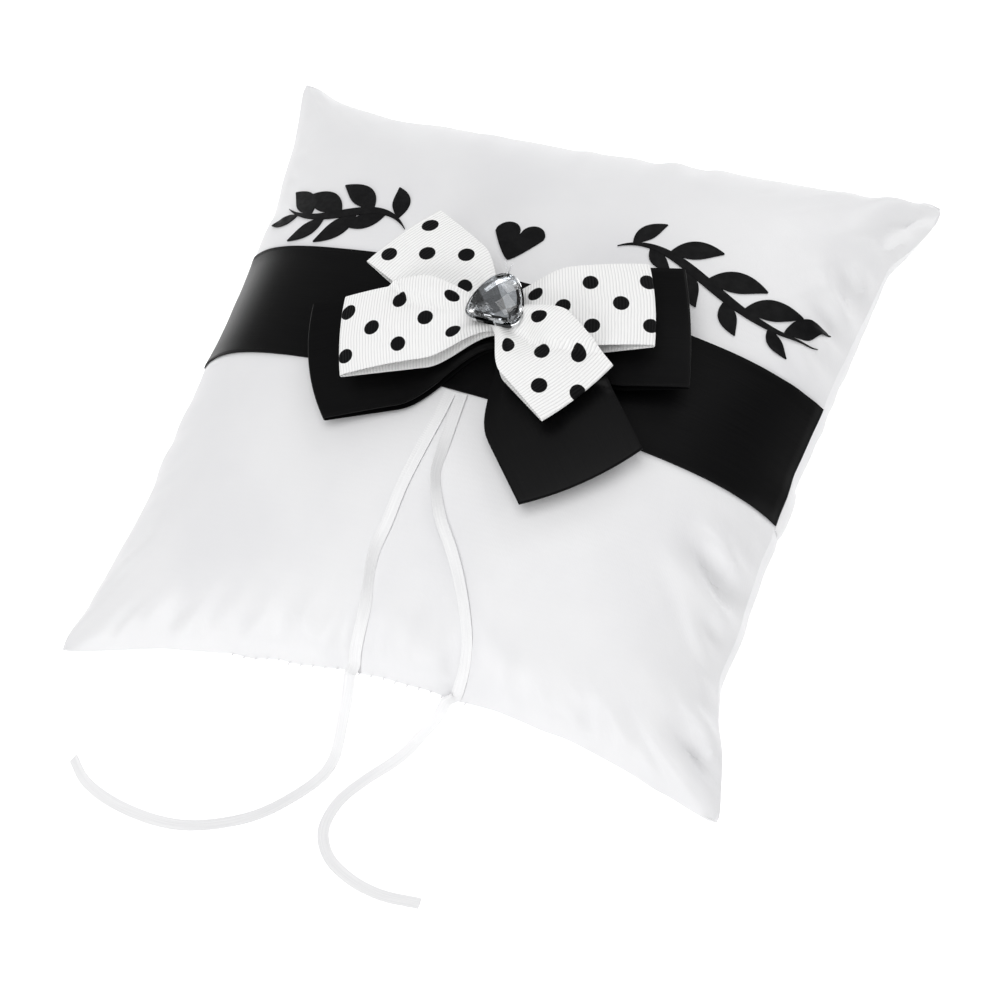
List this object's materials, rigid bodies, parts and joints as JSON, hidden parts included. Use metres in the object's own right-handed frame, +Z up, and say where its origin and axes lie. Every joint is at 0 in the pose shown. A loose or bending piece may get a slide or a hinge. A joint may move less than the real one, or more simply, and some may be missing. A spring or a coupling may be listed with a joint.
{
  "type": "ring bearer pillow",
  "caption": "Stuffed square satin cushion with a ribbon band, a double bow with a heart gem, two ring ribbons that lie loose and a hand strap on the back.",
  "frame": {"origin": "on the table, under the middle of the pillow", "axes": "+Z up through the pillow's thickness, +Y towards the pillow's top edge, above the band, +X to the right as the front is read"},
  "size_m": [0.2, 0.2417, 0.0782],
  "materials": {
    "white_satin": "white duchess satin, soft sheen",
    "white_ribbon": "white satin ribbon with woven edges",
    "black_satin": "black satin ribbon, soft sheen",
    "dotted_grosgrain": "white ribbed grosgrain printed with black dots",
    "pressed_black": "matte black film pressed on the satin",
    "fibre_filling": "loose polyester fibre",
    "sewing_thread": "white sewing thread",
    "clear_gem": "faceted clear acrylic",
    "silver_foil": "silver foil",
    "clear_nylon": "clear nylon thread"
  },
  "bodies": {
    "root": {"back_panel": "white_satin", "front_panel": "white_satin", "fibre_filling": "fibre_filling", "hand_strap": "white_ribbon", "front_band": "black_satin", "black_loop_left": "black_satin", "black_loop_right": "black_satin", "black_loop_lower": "black_satin", "dotted_loop_upper_left": "dotted_grosgrain", "dotted_loop_right": "dotted_grosgrain", "dotted_loop_left": "dotted_grosgrain", "dotted_loop_lower": "dotted_grosgrain", "thread_shank": "sewing_thread", "gem_foil": "silver_foil", "heart_gem": "clear_gem", "nylon_tack": "clear_nylon", "ring_ribbon_left": "white_ribbon", "ring_ribbon_right": "white_ribbon", "motif_sprig_left": "pressed_black", "motif_sprig_right": "pressed_black", "motif_heart": "pressed_black"}
  },
  "joints": []
}
